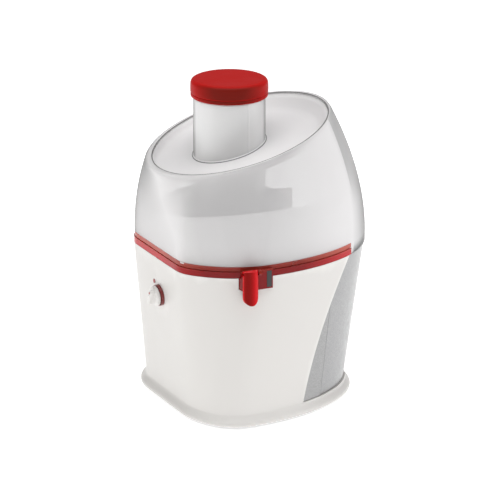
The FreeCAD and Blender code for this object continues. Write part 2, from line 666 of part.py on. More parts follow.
def pusher_cap():
    low, side, top = CAP_Z, CAP_Z + CAP_SIDE_H, CAP_Z + CAP_H
    crown = top - side
    shoulder = Vector(CAP_R - 0.29 * crown, 0, top - 0.29 * crown)
    outline = [
        Part.makeLine(Vector(0, 0, low), Vector(CAP_R - 0.8, 0, low)),
        Part.makeLine(Vector(CAP_R - 0.8, 0, low), Vector(CAP_R, 0, low + 0.8)),
        Part.makeLine(Vector(CAP_R, 0, low + 0.8), Vector(CAP_R, 0, side)),
        Part.Arc(Vector(CAP_R, 0, side), shoulder, Vector(CAP_R - crown, 0, top)).toShape(),
        Part.makeLine(Vector(CAP_R - crown, 0, top), Vector(0, 0, top)),
        Part.makeLine(Vector(0, 0, top), Vector(0, 0, low)),
    ]
    cap = Part.Face(Part.Wire(outline)).revolve(Vector(0, 0, 0), Vector(0, 0, 1), 360)
    cap.translate(Vector(CHUTE_X, 0, 0))
    return cap.cut(ring(CHUTE_BORE_R - 0.55, CHUTE_BORE_R - 4.65, CAP_Z - 1, CAP_Z + 4.1, CHUTE_X))


# ---------------------------------------------------------------- pulp container
def pulp_container():
    inset, low, top = 2.0, WAIST_Z + 0.5, RIM_Z - 1.0
    outer = body_solid(WAIST_Z, RIM_Z, inset).common(dock_zone(0.5)).common(
        box(0, 220, -200, 200, low, top))
    inner = body_solid(WAIST_Z, RIM_Z + 2, inset + 2.2).common(dock_zone(2.9)).common(
        box(0, 220, -200, 200, low + 2.4, top + 5))
    return outer.cut(inner)


# ---------------------------------------------------------------- latch and interlock, at the back
def latch_lever():
    """The lever as it lies when closed, then swung open about its pin."""
    pivot_y, pivot_z = LATCH_PIVOT
    x0, x1 = LATCH_X - 11.5, LATCH_X + 11.5
    hook_z = LID_Z + 5.6
    plate = box(x0, x1, pivot_y - 1.6, pivot_y + 1.6, pivot_z, hook_z + 4)
    hook = box(x0, x1, pivot_y - 5.2, pivot_y, hook_z, hook_z + 4)
    knuckle = rod(5.0, (x0, pivot_y, pivot_z), (x1, pivot_y, pivot_z))
    heel = rod(4.0, (LATCH_X, PLUNGER_TIP_Y - 1.4, PLUNGER_Z), (LATCH_X, pivot_y, PLUNGER_Z))
    thumb = box(x0 + 3, x1 - 3, pivot_y, pivot_y + 6, hook_z, hook_z + 4)
    lever = plate.fuse(hook).fuse(knuckle).fuse(heel).fuse(thumb)
    lever = lever.cut(rod(2.06, (x0 - 5, pivot_y, pivot_z), (x1 + 5, pivot_y, pivot_z)))
    lever.rotate(Vector(LATCH_X, pivot_y, pivot_z), Vector(1, 0, 0), -LATCH_OPEN)
    return lever


def latch_pin():
    return rod(2.0, (LATCH_X - 16, *LATCH_PIVOT), (LATCH_X + 16, *LATCH_PIVOT))


def latch_bracket(outer):
    pivot_y, pivot_z = LATCH_PIVOT
    ears = []
    for x0, x1 in ((LATCH_X - 16, LATCH_X - 12), (LATCH_X + 12, LATCH_X + 16)):
        ear = box(x0, x1, 92, pivot_y, pivot_z - 6, pivot_z + 6)
        ear = ear.fuse(rod(6.0, (x0, pivot_y, pivot_z), (x1, pivot_y, pivot_z)))
        ears.append(ear.cut(rod(2.0, (x0 - 1, pivot_y, pivot_z), (x1 + 1, pivot_y, pivot_z))).cut(outer))
    return group(ears)


def interlock_plunger():
    thick = rod(PLUNGER_R, (LATCH_X, 84, PLUNGER_Z), (LATCH_X, PLUNGER_TIP_Y - 1, PLUNGER_Z))
    return thick.fuse(rod(PLUNGER_R - 0.8, (LATCH_X, 89, PLUNGER_Z), (LATCH_X, PLUNGER_TIP_Y, PLUNGER_Z)))


def interlock_switch():
    return box(LATCH_X - 10, LATCH_X + 10, 67, 81.6, PLUNGER_Z - 7, PLUNGER_Z + 3.6)


def main():
    outer = body_solid(FOOT_Z, RIM_Z)
    print("knob seat", KNOB_SEAT + ORIGIN_SHIFT, "outward", PANEL_OUT)
    export("base_housing", base_housing(outer))
    export("front_side_trim", side_trim(outer, -1))
    export("rear_side_trim", side_trim(outer, 1))
    export("dock_wall", dock_wall())
    export("motor_deck", motor_deck())
    export("bottom_plate", bottom_plate())
    export("rubber_feet", rubber_feet())
    export("base_screws", base_screws())
    export("screw_bosses", screw_bosses())
    export("cord_gland", cord_gland(outer))
    export("knob_bezel", knob_bezel())
    export("control_knob", control_knob())
    export("knob_pointer", knob_pointer())
    export("switch_spindle", switch_spindle())
    export("speed_switch", speed_switch())
    export("switch_bracket", switch_bracket())
    export("off_mark", off_mark())
    export("lower_motor_bracket", motor_bracket(MOTOR_Z, MOTOR_Z + 11))
    export("upper_motor_bracket", motor_bracket(UPPER_Z, UPPER_Z + 13))
    export("motor_posts", motor_posts())
    export("post_sleeves", post_sleeves())
    export("motor_mounts", motor_mounts())
    export("stator_core", stator_core())
    export("field_coils", field_coils())
    export("brush_holders", brush_holders())
    export("carbon_brushes", carbon_brushes())
    export("lower_bearing", bearing(MOTOR_Z + 2, MOTOR_Z + 10))
    export("upper_bearing", bearing(UPPER_Z + 2, UPPER_Z + 12))
    export("motor_shaft", motor_shaft())
    export("armature_core", armature_core())
    export("armature_windings", armature_windings())
    export("commutator", commutator())
    export("cooling_fan", cooling_fan())
    export("drive_coupler", drive_coupler())
    export("shaft_seal", shaft_seal())
    export("seal_seat", seal_seat())
    export("juice_tray", juice_tray())
    export("pulp_guard", pulp_guard())
    export("drip_nose", drip_nose())
    export("nose_pin", nose_pin())
    export("spout_plug", spout_plug())
    export("basket_mesh", basket_mesh())
    export("basket_rim", basket_rim())
    export("basket_hub", basket_hub())
    export("grater_disc", grater_disc())
    export("grater_teeth", grater_teeth())
    export("lid_shell", lid_shell())
    export("lid_catch", lid_catch())
    export("feed_chute", feed_chute())
    export("pusher_body", pusher_body())
    export("pusher_sole", pusher_sole())
    export("pusher_cap", pusher_cap())
    export("pulp_container", pulp_container())
    export("latch_lever", latch_lever())
    export("latch_pin", latch_pin())
    export("latch_bracket", latch_bracket(outer))
    export("interlock_plunger", interlock_plunger())
    export("interlock_switch", interlock_switch())


main()
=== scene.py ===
"""Studio scene of a compact centrifugal juicer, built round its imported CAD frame.

Metres, +Z up, -Y the front. Sizes of the meshes made here are in millimetres, as on the drawing.
"""
import json
from math import copysign, cos, pi, radians, sin, sqrt

import bmesh
import bpy
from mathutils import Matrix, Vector


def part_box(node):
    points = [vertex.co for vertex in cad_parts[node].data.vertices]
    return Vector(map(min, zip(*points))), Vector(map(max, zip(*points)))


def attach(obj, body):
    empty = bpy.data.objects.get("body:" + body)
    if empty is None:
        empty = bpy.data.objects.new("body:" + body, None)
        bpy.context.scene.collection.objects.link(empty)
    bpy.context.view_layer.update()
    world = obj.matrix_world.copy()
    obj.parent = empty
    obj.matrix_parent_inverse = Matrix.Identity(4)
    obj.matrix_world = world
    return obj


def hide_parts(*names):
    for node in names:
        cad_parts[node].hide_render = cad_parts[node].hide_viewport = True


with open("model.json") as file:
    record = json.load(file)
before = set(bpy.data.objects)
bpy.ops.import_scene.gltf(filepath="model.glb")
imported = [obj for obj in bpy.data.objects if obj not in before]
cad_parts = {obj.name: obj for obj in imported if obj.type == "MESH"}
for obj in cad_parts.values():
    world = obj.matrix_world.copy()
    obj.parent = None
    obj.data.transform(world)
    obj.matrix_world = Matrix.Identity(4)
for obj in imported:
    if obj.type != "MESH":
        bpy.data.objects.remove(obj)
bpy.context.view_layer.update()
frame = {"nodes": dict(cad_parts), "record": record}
NODES = frame["nodes"]
MM = 0.001

# ---------------------------------------------------------------- sizes, in millimetres on the drawing
CHUTE_X = -22.6
RIM_Z, BAND_H = 155.5, 12.0      # the housing's rim and the red band above it
LID_Z = RIM_Z + BAND_H
RIM_PLAN = (-25.0, 94.0, 145.5, 102.7, 2.0)   # centre X, reach left, reach right, half depth, roundness
PANEL_HIGH_X, PANEL_EDGE = -103.4, 3.5        # the flat left end at rim height, and how soft its corners are
TOP_X, TOP_R = -13.2, 92.3       # where the lid's wall would end, a little outside its rim
RIM_X, RIM_R = -11.0, 87.6       # the rim of the lid's dish
TOP_Z, TOP_SLOPE = 272.9, 0.29   # the rim's plane at RIM_X, rising to the right
FLOOR_X, FLOOR_R = -14.0, 79.0   # the dish's floor
FLOOR_Z, FLOOR_SLOPE = 259.2, 0.262   # the floor's plane at CHUTE_X
LID_INSET = 0.8
LID_STEPS, LID_WALL_SHARE = 24, 0.97  # loops up the lid's wall, and where its shoulder starts
LEAN_LEFT, LEAN_RIGHT = 2.2, 1.8      # powers by which the wall leans in as it rises
WALL = 2.2                       # thickness of the lid and its dish
CHUTE_R, CHUTE_BORE_R = 35.7, 33.1
CHUTE_TOP_Z, CHUTE_LOW_Z = 311.8, 170.0
CAP_R, CAP_Z, CAP_H = 38.6, 312.2, 17.8
SKIRT_LOW_X = 77.0               # right of this the lid's skirt reaches down over the pulp container
RIB_ANGLE = -83.5                # of the line down the chute's front
RIB_HEIGHT, RIB_HALF_ANGLE = 0.45, 1.3
KNOB_R, GRIP_TURN = 10.0, 32.0
SEGMENTS = 144
FACETS = ((8, 16), (128, 136))   # flat runs of the lid's outline, near either corner of its right end
CREASE_LOW_Z = 215               # the facets' edges are sharp above this

KNOB_SEAT = Vector((-0.102837, -0.01303, 0.1168))     # in the frame, in metres
KNOB_OUT = Vector((-0.995707, 0.0, -0.092559))
SPOUT = (-0.045, -0.115, 0.160)                       # the tray's spout, in the frame, in metres


def drawing_origin():
    """Where the drawing's own origin lies in the frame, from the chute, which stands on a known axis."""
    low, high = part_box("feed_chute")
    return Vector(((low[0] + high[0]) / 2 - CHUTE_X * MM, (low[1] + high[1]) / 2, 0.0))


ORIGIN = drawing_origin()


def place(x, y, z):
    """A point of the drawing, in millimetres, as a point of the frame, in metres."""
    return Vector((x * MM, y * MM, z * MM)) + ORIGIN


def mix(a, b, share):
    """The value that lies a share of the way from a to b."""
    return a + (b - a) * share


# ---------------------------------------------------------------- mesh helpers
def smooth(mesh, angle):
    """Smooth shading, with edges sharper than the angle kept crisp."""
    mesh.polygons.foreach_set("use_smooth", [True] * len(mesh.polygons))
    mesh.set_sharp_from_angle(angle=radians(angle))


def new_piece(name, verts, faces, material, body, angle=35):
    """A mesh object with one material, its faces turned outward, that moves with a body."""
    mesh = bpy.data.meshes.new(name)
    mesh.from_pydata([tuple(v) for v in verts], [], faces)
    clean = bmesh.new()
    clean.from_mesh(mesh)
    bmesh.ops.recalc_face_normals(clean, faces=clean.faces)
    clean.to_mesh(mesh)
    clean.free()
    smooth(mesh, angle)
    piece = bpy.data.objects.new(name, mesh)
    bpy.context.scene.collection.objects.link(piece)
    mesh.materials.append(material)
    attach(piece, body)
    return piece


def skin(loops, close_ends=(False, False)):
    """Verts and quads between closed loops of equally many points; an end may be closed with a fan."""
    count = len(loops[0])
    verts = [p for loop in loops for p in loop]
    faces = []
    for k in range(len(loops) - 1):
        for i in range(count):
            j = (i + 1) % count
            faces.append((k * count + i, k * count + j, (k + 1) * count + j, (k + 1) * count + i))
    for at_end, closed in enumerate(close_ends):
        if closed:
            loop = loops[-1 if at_end else 0]
            centre = sum(loop, Vector()) / count
            verts.append(centre)
            start = (len(loops) - 1) * count if at_end else 0
            faces += [(start + i, start + (i + 1) % count, len(verts) - 1) for i in range(count)]
    return verts, faces


def lathe(profile, x):
    """Loops of a profile of (radius, z) points turned about an upright axis in the middle plane."""
    loops = []
    for radius, z in profile:
        loops.append([
            place(x + radius * cos(2 * pi * i / SEGMENTS), radius * sin(2 * pi * i / SEGMENTS), z)
            for i in range(SEGMENTS)])
    return loops


def rounded(points, radius, steps):
    """A profile with its inner corners rounded by arcs about that radius."""
    result = [points[0]]
    for before, corner, after in zip(points, points[1:], points[2:]):
        before, corner, after = Vector(before), Vector(corner), Vector(after)
        reach = min(radius, (before - corner).length * 0.45, (after - corner).length * 0.45)
        start = corner + (before - corner).normalized() * reach
        end = corner + (after - corner).normalized() * reach
        for k in range(steps + 1):
            t = k / steps
            result.append(tuple(start * (1 - t) ** 2 + corner * 2 * t * (1 - t) + end * t ** 2))
    result.append(points[-1])
    return result


def thicken(piece, millimetres):
    """Gives a sheet its wall, inward from its outer face."""
    wall = piece.modifiers.new("wall", "SOLIDIFY")
    wall.thickness = millimetres * MM
    wall.offset = -1.0
    wall.use_even_offset = True


# ---------------------------------------------------------------- materials
def new_material(name):
    """A material with its node tree and its shader."""
    material = bpy.data.materials.new(name)
    material.use_nodes = True
    tree = material.node_tree
    return material, tree, tree.nodes["Principled BSDF"]


def noise(tree, scale, detail, stretch=(1, 1, 1)):
    """A 0-1 noise fixed to the piece."""
    coords = tree.nodes.new("ShaderNodeTexCoord")
    mapping = tree.nodes.new("ShaderNodeMapping")
    mapping.inputs["Scale"].default_value = stretch
    texture = tree.nodes.new("ShaderNodeTexNoise")
    texture.inputs["Scale"].default_value = scale
    texture.inputs["Detail"].default_value = detail
    tree.links.new(coords.outputs["Object"], mapping.inputs["Vector"])
    tree.links.new(mapping.outputs["Vector"], texture.inputs["Vector"])
    return texture.outputs["Fac"]


def ramp(tree, source, low, high, stops=(0.3, 0.7)):
    """Maps a 0-1 value onto a range from low to high."""
    node = tree.nodes.new("ShaderNodeMapRange")
    node.inputs["From Min"].default_value, node.inputs["From Max"].default_value = stops
    node.inputs["To Min"].default_value, node.inputs["To Max"].default_value = low, high
    tree.links.new(source, node.inputs["Value"])
    return node.outputs["Result"]


def blend_colours(tree, factor, first, second):
    """The first colour where the factor is 0 and the second where it is 1; each is a tuple or an output."""
    node = tree.nodes.new("ShaderNodeMix")
    node.data_type = "RGBA"
    tree.links.new(factor, node.inputs["Factor"])
    for socket, colour in ((node.inputs["A"], first), (node.inputs["B"], second)):
        if isinstance(colour, tuple):
            socket.default_value = (*colour, 1.0)
        else:
            tree.links.new(colour, socket)
    return node.outputs["Result"]


def bump(tree, shader, height, strength, distance):
    """Relief too fine for the mesh; the distance is in metres."""
    node = tree.nodes.new("ShaderNodeBump")
    node.inputs["Strength"].default_value = strength
    node.inputs["Distance"].default_value = distance
    tree.links.new(height, node.inputs["Height"])
    tree.links.new(node.outputs["Normal"], shader.inputs["Normal"])


def worn_edges(tree, colour, worn):
    """Lightens sharp outer edges, where hands and cloths rub."""
    geometry = tree.nodes.new("ShaderNodeNewGeometry")
    edge = ramp(tree, geometry.outputs["Pointiness"], 0.0, 0.5, (0.53, 0.60))
    return blend_colours(tree, edge, colour, worn)


def plastic(name, colour, shade, roughness=(0.24, 0.36), grain=900.0, grain_depth=0.00002,
            coat=0.15, worn=None, specular=0.5):
    """Moulded plastic: slow colour drift, fine moulding grain, uneven gloss and rubbed edges."""
    material, tree, shader = new_material(name)
    drift = blend_colours(tree, noise(tree, 9.0, 4.0), colour, shade)
    if worn:
        drift = worn_edges(tree, drift, worn)
    tree.links.new(drift, shader.inputs["Base Color"])
    tree.links.new(ramp(tree, noise(tree, 45.0, 6.0), *roughness), shader.inputs["Roughness"])
    shader.inputs["Coat Weight"].default_value = coat
    shader.inputs["Coat Roughness"].default_value = 0.12
    shader.inputs["IOR"].default_value = 1.5
    shader.inputs["Specular IOR Level"].default_value = specular
    bump(tree, shader, noise(tree, grain, 2.0), 0.25, grain_depth)
    return material


def clear_plastic(name, colour, edge_colour, alpha, roughness=(0.34, 0.40), metallic=0.0,
                  edge_from=0.45, painted_shade=None):
    """Clear or smoky moulding: darker and more opaque where it is seen edge on, with faint flow haze.

    With a painted shade colour it is painted that darker colour below the lid's dish, where the inside of
    the machine is in shade.
    """
    material, tree, shader = new_material(name)
    facing = tree.nodes.new("ShaderNodeLayerWeight")
    facing.inputs["Blend"].default_value = 0.5
    edge_on = ramp(tree, facing.outputs["Facing"], 0.0, 1.0, (edge_from, 0.93))
    drift = blend_colours(tree, noise(tree, 12.0, 3.0), colour, tuple(c * 0.97 for c in colour))
    # painted shade: darker below the lid's dish, as the shade inside the machine
    if painted_shade:
        coords = tree.nodes.new("ShaderNodeTexCoord")
        split = tree.nodes.new("ShaderNodeSeparateXYZ")
        tree.links.new(coords.outputs["Object"], split.inputs["Vector"])
        painted_shade_mask = ramp(tree, split.outputs["Z"], 1.0, 0.0, (FLOOR_Z * MM - 0.06, FLOOR_Z * MM - 0.01))
        drift = blend_colours(tree, painted_shade_mask, drift, painted_shade)
    tree.links.new(blend_colours(tree, edge_on, drift, edge_colour), shader.inputs["Base Color"])
    tree.links.new(ramp(tree, noise(tree, 60.0, 5.0), *roughness), shader.inputs["Roughness"])
    shader.inputs["Metallic"].default_value = metallic
    shader.inputs["IOR"].default_value = 1.45
    opacity = ramp(tree, facing.outputs["Facing"], alpha[0], alpha[1], (0.1, 0.95))
    tree.links.new(opacity, shader.inputs["Alpha"])
    bump(tree, shader, noise(tree, 260.0, 3.0, (1, 1, 0.2)), 0.04, 0.00002)
    return material


def sheen_painted_plastic(name, deep, bright, turn, roughness):
    """Thick tinted plastic with a painted sheen: deep where it is looked straight into and painted bright
    where it is seen aslant, as light on it would look.
    """
    material, tree, shader = new_material(name)
    facing = tree.nodes.new("ShaderNodeLayerWeight")
    facing.inputs["Blend"].default_value = 0.5
    # painted sheen: the colour turns bright where the surface is seen aslant
    aslant = ramp(tree, facing.outputs["Facing"], 0.0, 1.0, turn)
    drift = blend_colours(tree, noise(tree, 16.0, 4.0), deep, tuple(c * 0.85 for c in deep))
    tree.links.new(blend_colours(tree, aslant, drift, bright), shader.inputs["Base Color"])
    tree.links.new(ramp(tree, noise(tree, 45.0, 6.0), *roughness), shader.inputs["Roughness"])
    shader.inputs["Specular IOR Level"].default_value = 0.06
    bump(tree, shader, noise(tree, 600.0, 2.0), 0.15, 0.00002)
    return material


def tray_plastic(name):
    """Translucent red moulding: a deep red bead below, a paler ledge above, with painted shade that makes it
    deepest by the spout and painted light that makes it brighter away from it.
    """
    material, tree, shader = new_material(name)
    coords = tree.nodes.new("ShaderNodeTexCoord")
    split = tree.nodes.new("ShaderNodeSeparateXYZ")
    tree.links.new(coords.outputs["Object"], split.inputs["Vector"])
    low, high = (RIM_Z + 5.4) * MM, (RIM_Z + 7.4) * MM
    upper = ramp(tree, split.outputs["Z"], 0.0, 1.0, (low, high))
    from_spout = tree.nodes.new("ShaderNodeVectorMath")
    from_spout.operation = "DISTANCE"
    tree.links.new(coords.outputs["Object"], from_spout.inputs[0])
    from_spout.inputs[1].default_value = SPOUT
    # painted shade by the spout and painted light away from it: the red deepens near the spout and brightens
    # further round
    thin = ramp(tree, from_spout.outputs["Value"], 0.0, 1.0, (0.05, 0.11))
    deep = blend_colours(tree, noise(tree, 18.0, 4.0), (0.22, 0.001, 0.002), (0.16, 0.001, 0.002))
    pale = blend_colours(tree, noise(tree, 14.0, 4.0), (0.30, 0.02, 0.012), (0.20, 0.018, 0.01))
    deep = blend_colours(tree, thin, deep, (0.46, 0.008, 0.012))
    pale = blend_colours(tree, thin, pale, (0.52, 0.10, 0.07))
    tree.links.new(blend_colours(tree, upper, deep, pale), shader.inputs["Base Color"])
    tree.links.new(ramp(tree, upper, 0.97, 0.80, (0.0, 1.0)), shader.inputs["Alpha"])
    tree.links.new(ramp(tree, noise(tree, 60.0, 5.0), 0.10, 0.2), shader.inputs["Roughness"])
    shader.inputs["IOR"].default_value = 1.5
    shader.inputs["Specular IOR Level"].default_value = 0.2
    shader.inputs["Coat Weight"].default_value = 0.05
    shader.inputs["Coat Roughness"].default_value = 0.08
    bump(tree, shader, noise(tree, 400.0, 3.0), 0.10, 0.00003)
    return material


def sprayed_silver(name, colour, shade, metallic=0.65):
    """Silver spray on plastic: metal flake, slight cloudiness and orange peel."""
    material, tree, shader = new_material(name)
    clouds = blend_colours(tree, noise(tree, 14.0, 4.0), colour, shade)
    flake = ramp(tree, noise(tree, 2600.0, 1.0), 0.0, 0.25, (0.45, 0.75))
    sparkle = blend_colours(tree, flake, clouds, (0.95, 0.95, 0.96))
    tree.links.new(sparkle, shader.inputs["Base Color"])
    shader.inputs["Metallic"].default_value = metallic
    tree.links.new(ramp(tree, noise(tree, 180.0, 4.0), 0.28, 0.42), shader.inputs["Roughness"])
    shader.inputs["Coat Weight"].default_value = 0.25
    shader.inputs["Coat Roughness"].default_value = 0.15
    bump(tree, shader, noise(tree, 700.0, 2.0), 0.2, 0.00003)
    return material


def brushed_metal(name, colour, roughness=(0.2, 0.38), stretch=(1, 1, 40), scale=90.0):
    """Turned or brushed metal with fine lines and smudges."""
    material, tree, shader = new_material(name)
    lines = noise(tree, scale, 4.0, stretch)
    smudge = blend_colours(tree, noise(tree, 30.0, 5.0), colour, tuple(c * 0.82 for c in colour))
    rubbed = worn_edges(tree, smudge, tuple(min(1.0, c * 1.25) for c in colour))
    tree.links.new(rubbed, shader.inputs["Base Color"])
    shader.inputs["Metallic"].default_value = 1.0
    tree.links.new(ramp(tree, lines, *roughness), shader.inputs["Roughness"])
    bump(tree, shader, lines, 0.2, 0.00005)
    return material


def strainer_metal(name):
    """Stainless sheet pierced with a fine staggered pattern, drawn as dark dimples in the surface."""
    material, tree, shader = new_material(name)
    coords = tree.nodes.new("ShaderNodeTexCoord")
    cells = tree.nodes.new("ShaderNodeTexVoronoi")
    cells.inputs["Scale"].default_value = 520.0
    cells.inputs["Randomness"].default_value = 0.25
    tree.links.new(coords.outputs["Object"], cells.inputs["Vector"])
    hole = ramp(tree, cells.outputs["Distance"], 1.0, 0.0, (0.18, 0.32))
    smudge = blend_colours(tree, noise(tree, 40.0, 5.0), (0.72, 0.72, 0.73), (0.6, 0.6, 0.62))
    tree.links.new(blend_colours(tree, hole, smudge, (0.06, 0.06, 0.06)), shader.inputs["Base Color"])
    shader.inputs["Metallic"].default_value = 0.9
    tree.links.new(ramp(tree, noise(tree, 90.0, 4.0), 0.22, 0.4), shader.inputs["Roughness"])
    bump(tree, shader, hole, -0.5, 0.0003)
    return material


def wound_wire(name):
    """Enamelled copper wire laid in fine turns."""
    material, tree, shader = new_material(name)
    coords = tree.nodes.new("ShaderNodeTexCoord")
    turns = tree.nodes.new("ShaderNodeTexWave")
    turns.bands_direction = "DIAGONAL"
    turns.inputs["Scale"].default_value = 420.0
    turns.inputs["Distortion"].default_value = 1.2
    tree.links.new(coords.outputs["Object"], turns.inputs["Vector"])
    colour = blend_colours(tree, turns.outputs["Fac"], (0.35, 0.12, 0.04), (0.75, 0.35, 0.16))
    tree.links.new(colour, shader.inputs["Base Color"])
    shader.inputs["Metallic"].default_value = 0.7
    tree.links.new(ramp(tree, turns.outputs["Fac"], 0.45, 0.22), shader.inputs["Roughness"])
    bump(tree, shader, turns.outputs["Fac"], 0.8, 0.0003)
    return material


def stacked_sheets(name):
    """The edges of stacked electrical sheets: fine level lines."""
    material, tree, shader = new_material(name)
    coords = tree.nodes.new("ShaderNodeTexCoord")
    sheets = tree.nodes.new("ShaderNodeTexWave")
    sheets.bands_direction = "Z"
    sheets.inputs["Scale"].default_value = 600.0
    sheets.inputs["Distortion"].default_value = 0.2
    tree.links.new(coords.outputs["Object"], sheets.inputs["Vector"])
    colour = blend_colours(tree, noise(tree, 60.0, 5.0), (0.30, 0.30, 0.32), (0.20, 0.17, 0.15))
    tree.links.new(colour, shader.inputs["Base Color"])
    shader.inputs["Metallic"].default_value = 0.8
    tree.links.new(ramp(tree, sheets.outputs["Fac"], 0.35, 0.6), shader.inputs["Roughness"])
    bump(tree, shader, sheets.outputs["Fac"], 0.5, 0.0002)
    return material


def rubber(name, colour):
    """Matt rubber with a little dust."""
    material, tree, shader = new_material(name)
    dusty = blend_colours(tree, noise(tree, 35.0, 6.0), colour, tuple(c * 1.6 + 0.02 for c in colour))
    tree.links.new(dusty, shader.inputs["Base Color"])
    tree.links.new(ramp(tree, noise(tree, 120.0, 5.0), 0.6, 0.85), shader.inputs["Roughness"])
    bump(tree, shader, noise(tree, 1500.0, 2.0), 0.3, 0.00006)
    return material


WHITE, WHITE_SHADE = (0.64, 0.625, 0.605), (0.625, 0.61, 0.59)
MATERIALS = {
    "white_housing": plastic("white_housing", WHITE, WHITE_SHADE, (0.34, 0.42), coat=0.05,
                             worn=(0.80, 0.79, 0.77)),
    "white_guard": plastic("white_guard", (0.92, 0.92, 0.92), (0.90, 0.90, 0.90), (0.3, 0.42)),
    "white_knob": plastic("white_knob", WHITE, WHITE_SHADE, worn=(0.93, 0.93, 0.91)),
    "dark_red_plastic": plastic("dark_red_plastic", (0.20, 0.012, 0.010), (0.14, 0.01, 0.01), (0.2, 0.3),
                                coat=0.4),
    "red_mark": plastic("red_mark", (0.34, 0.01, 0.015), (0.28, 0.01, 0.01), (0.3, 0.4)),
    "grey_trim": sprayed_silver("grey_trim", (0.28, 0.28, 0.28), (0.24, 0.24, 0.24)),
    "silver_container": sprayed_silver("silver_container", (0.28, 0.28, 0.28), (0.25, 0.25, 0.255), 0.45),
    "grey_inner": plastic("grey_inner", (0.12, 0.12, 0.12), (0.09, 0.09, 0.09), (0.45, 0.6)),
    "red_tray": tray_plastic("red_tray"),
    # The nose and the cap carry a painted sheen: bright where they are seen aslant, such as the cap's top.
    "red_nose": sheen_painted_plastic("red_nose", (0.22, 0.004, 0.003), (0.55, 0.006, 0.010), (0.04, 0.35),
                                (0.16, 0.24)),
    "red_cap": sheen_painted_plastic("red_cap", (0.17, 0.010, 0.006), (0.42, 0.007, 0.006), (0.10, 0.55),
                               (0.36, 0.44)),
    "clear_lid": clear_plastic("clear_lid", (0.84, 0.83, 0.835), (0.04, 0.04, 0.04), (0.40, 0.98),
                               edge_from=0.56),
    "frosted_dish": clear_plastic("frosted_dish", (0.82, 0.81, 0.815), (0.45, 0.45, 0.45), (0.85, 0.95),
                                  edge_from=0.8),
    # A dark grey for beads that are painted shade lines along the lid's rim and round the chute's foot.
    "smoky_edge": plastic("smoky_edge", (0.22, 0.22, 0.22), (0.17, 0.17, 0.17), (0.2, 0.3)),
    # The chute and the pusher are painted darker below the lid's dish: painted shade.
    "clear_chute": clear_plastic("clear_chute", (0.90, 0.90, 0.90), (0.10, 0.10, 0.10), (0.55, 0.95),
                                 (0.34, 0.38), 0.3, edge_from=0.60, painted_shade=(0.20, 0.20, 0.20)),
    "clear_pusher": clear_plastic("clear_pusher", (0.84, 0.84, 0.84), (0.45, 0.45, 0.45), (0.8, 0.95),
                                  metallic=0.1, painted_shade=(0.16, 0.16, 0.16)),
    "basket_steel": strainer_metal("basket_steel"),
    "basket_plastic": plastic("basket_plastic", (0.06, 0.06, 0.065), (0.04, 0.04, 0.045), (0.35, 0.5)),
    "latch_plastic": plastic("latch_plastic", (0.66, 0.66, 0.67), (0.6, 0.6, 0.61), worn=(0.8, 0.8, 0.8)),
    "black_pin": plastic("black_pin", (0.012, 0.012, 0.012), (0.008, 0.008, 0.008), (0.3, 0.45)),
    "black_plastic": plastic("black_plastic", (0.012, 0.012, 0.012), (0.008, 0.008, 0.008), (0.35, 0.5),
                             specular=0.2),
    "rubber_feet": rubber("rubber_feet", (0.05, 0.05, 0.05)),
    "rubber_inner": rubber("rubber_inner", (0.03, 0.03, 0.03)),
    "steel_parts": brushed_metal("steel_parts", (0.62, 0.62, 0.63)),
    "zinc_brackets": brushed_metal("zinc_brackets", (0.55, 0.56, 0.57), (0.4, 0.55), (1, 1, 1), 300.0),
    "lamination_steel": stacked_sheets("lamination_steel"),
    "copper_windings": wound_wire("copper_windings"),
    "carbon": plastic("carbon", (0.02, 0.02, 0.022), (0.04, 0.04, 0.04), (0.5, 0.7), 500.0, 0.0001, 0.0),
}


def dress_cad_nodes():
    """Gives every carried-over node its slot's material and clean shading."""
    slots = {part["node"]: part["material_slot"] for part in frame["record"]["subparts"]}
    for name, node in NODES.items():
        material = MATERIALS[slots[name]]
        if node.material_slots:
            for held in node.material_slots:
                held.link = "OBJECT"
                held.material = material
        else:
            node.data.materials.append(material)
        smooth(node.data, 30)


# ---------------------------------------------------------------- lid
def rim_outline(inset):
    """The egg-shaped plan of the rim: blunt to the left with a soft flat, elliptical to the right."""
    centre, left, right, half, power = RIM_PLAN
    left, right, half, wall = left - inset, right - inset, half - inset, PANEL_HIGH_X + inset
    points = []
    for i in range(SEGMENTS):
        c, s = cos(2 * pi * i / SEGMENTS), sin(2 * pi * i / SEGMENTS)
        if c < 0:
            x = centre - left * abs(c) ** (2 / power)
            y = half * copysign(abs(s) ** (2 / power), s)
        else:
            x, y = centre + right * c, half * s
        points.append((0.5 * (x + wall + sqrt((x - wall) ** 2 + PANEL_EDGE ** 2)), y))
    return points


def rim_plane(x):
    """Height of the sloping plane of the lid's rim."""
    return TOP_Z + TOP_SLOPE * (x - RIM_X)


def floor_plane(x):
    """Height of the sloping floor of the lid's dish."""
    return FLOOR_Z + FLOOR_SLOPE * (x - CHUTE_X)


def lid_wall(t):
    """One loop of the lid's wall, from the housing's outline at 0 to the top circle at 1.

    The facets start as part of the curved wall and turn flat on the way up.
    """
    loop = []
    for i, (low_x, low_y) in enumerate(rim_outline(LID_INSET)):
        angle = 2 * pi * i / SEGMENTS
        top_x, top_y = TOP_X + TOP_R * cos(angle), (TOP_R - 2.0) * sin(angle)
        lean = t ** mix(LEAN_LEFT, LEAN_RIGHT, (1 + cos(angle)) / 2)
        loop.append(place(mix(low_x, top_x, lean), mix(low_y, top_y, lean), mix(LID_Z, rim_plane(top_x), t)))
    flat = min(1.0, max(0.0, (t - 0.3) / 0.3)) * min(1.0, (1.35 - t) / 0.5)
    for start, end in FACETS:
        for k in range(start + 1, end):
            chord = loop[start].lerp(loop[end], (k - start) / (end - start))
            loop[k] = loop[k].lerp(chord, flat)
    return loop


def sharpen_columns(mesh, columns, low_z):
    """Marks the upright edges in those columns of points as creases, above a height."""
    for edge in mesh.edges:
        a, b = edge.vertices
        if abs(a - b) == SEGMENTS and a % SEGMENTS in columns:
            edge.use_edge_sharp = min(mesh.vertices[a].co.z, mesh.vertices[b].co.z) > low_z * MM


